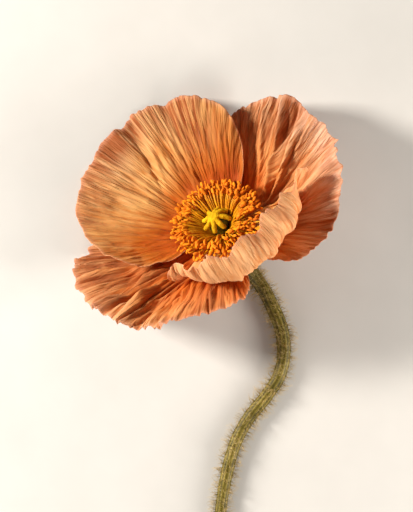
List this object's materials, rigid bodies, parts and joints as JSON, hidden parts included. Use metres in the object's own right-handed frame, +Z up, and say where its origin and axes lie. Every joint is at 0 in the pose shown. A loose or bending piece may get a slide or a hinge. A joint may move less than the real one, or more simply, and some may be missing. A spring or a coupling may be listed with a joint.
{
  "type": "poppy flower",
  "caption": "Cut Iceland poppy lying on its curved hairy stem, with broad crinkled peach petals, a ring of orange stamens and a rayed yellow stigma.",
  "frame": {"origin": "on the surface the flower lies on, under the middle of its bounding box", "axes": "+Y along the lying stem, from its cut end towards the bloom; +Z up from the surface; the bloom leans towards -X and +Y"},
  "size_m": [0.0847, 0.1601, 0.0523],
  "materials": {
    "stem": "ribbed green stem, covered in pale spreading hairs, redder at the hair roots",
    "petal_outer": "thin crinkled petal, deep orange at the root and pinkish peach at the rim",
    "petal_inner": "thin finely pleated petal, peach orange with a paler rim",
    "ovary": "dark green pod with short bristles",
    "stigma": "velvety lime yellow rays",
    "stamens": "ochre yellow filaments with powdery orange anthers"
  },
  "bodies": {
    "root": {"stem": "stem", "petal_right": "petal_outer", "petal_left": "petal_outer", "petal_back": "petal_inner", "petal_front": "petal_inner", "ovary": "ovary", "stigma": "stigma", "stamens": "stamens"}
  },
  "joints": []
}
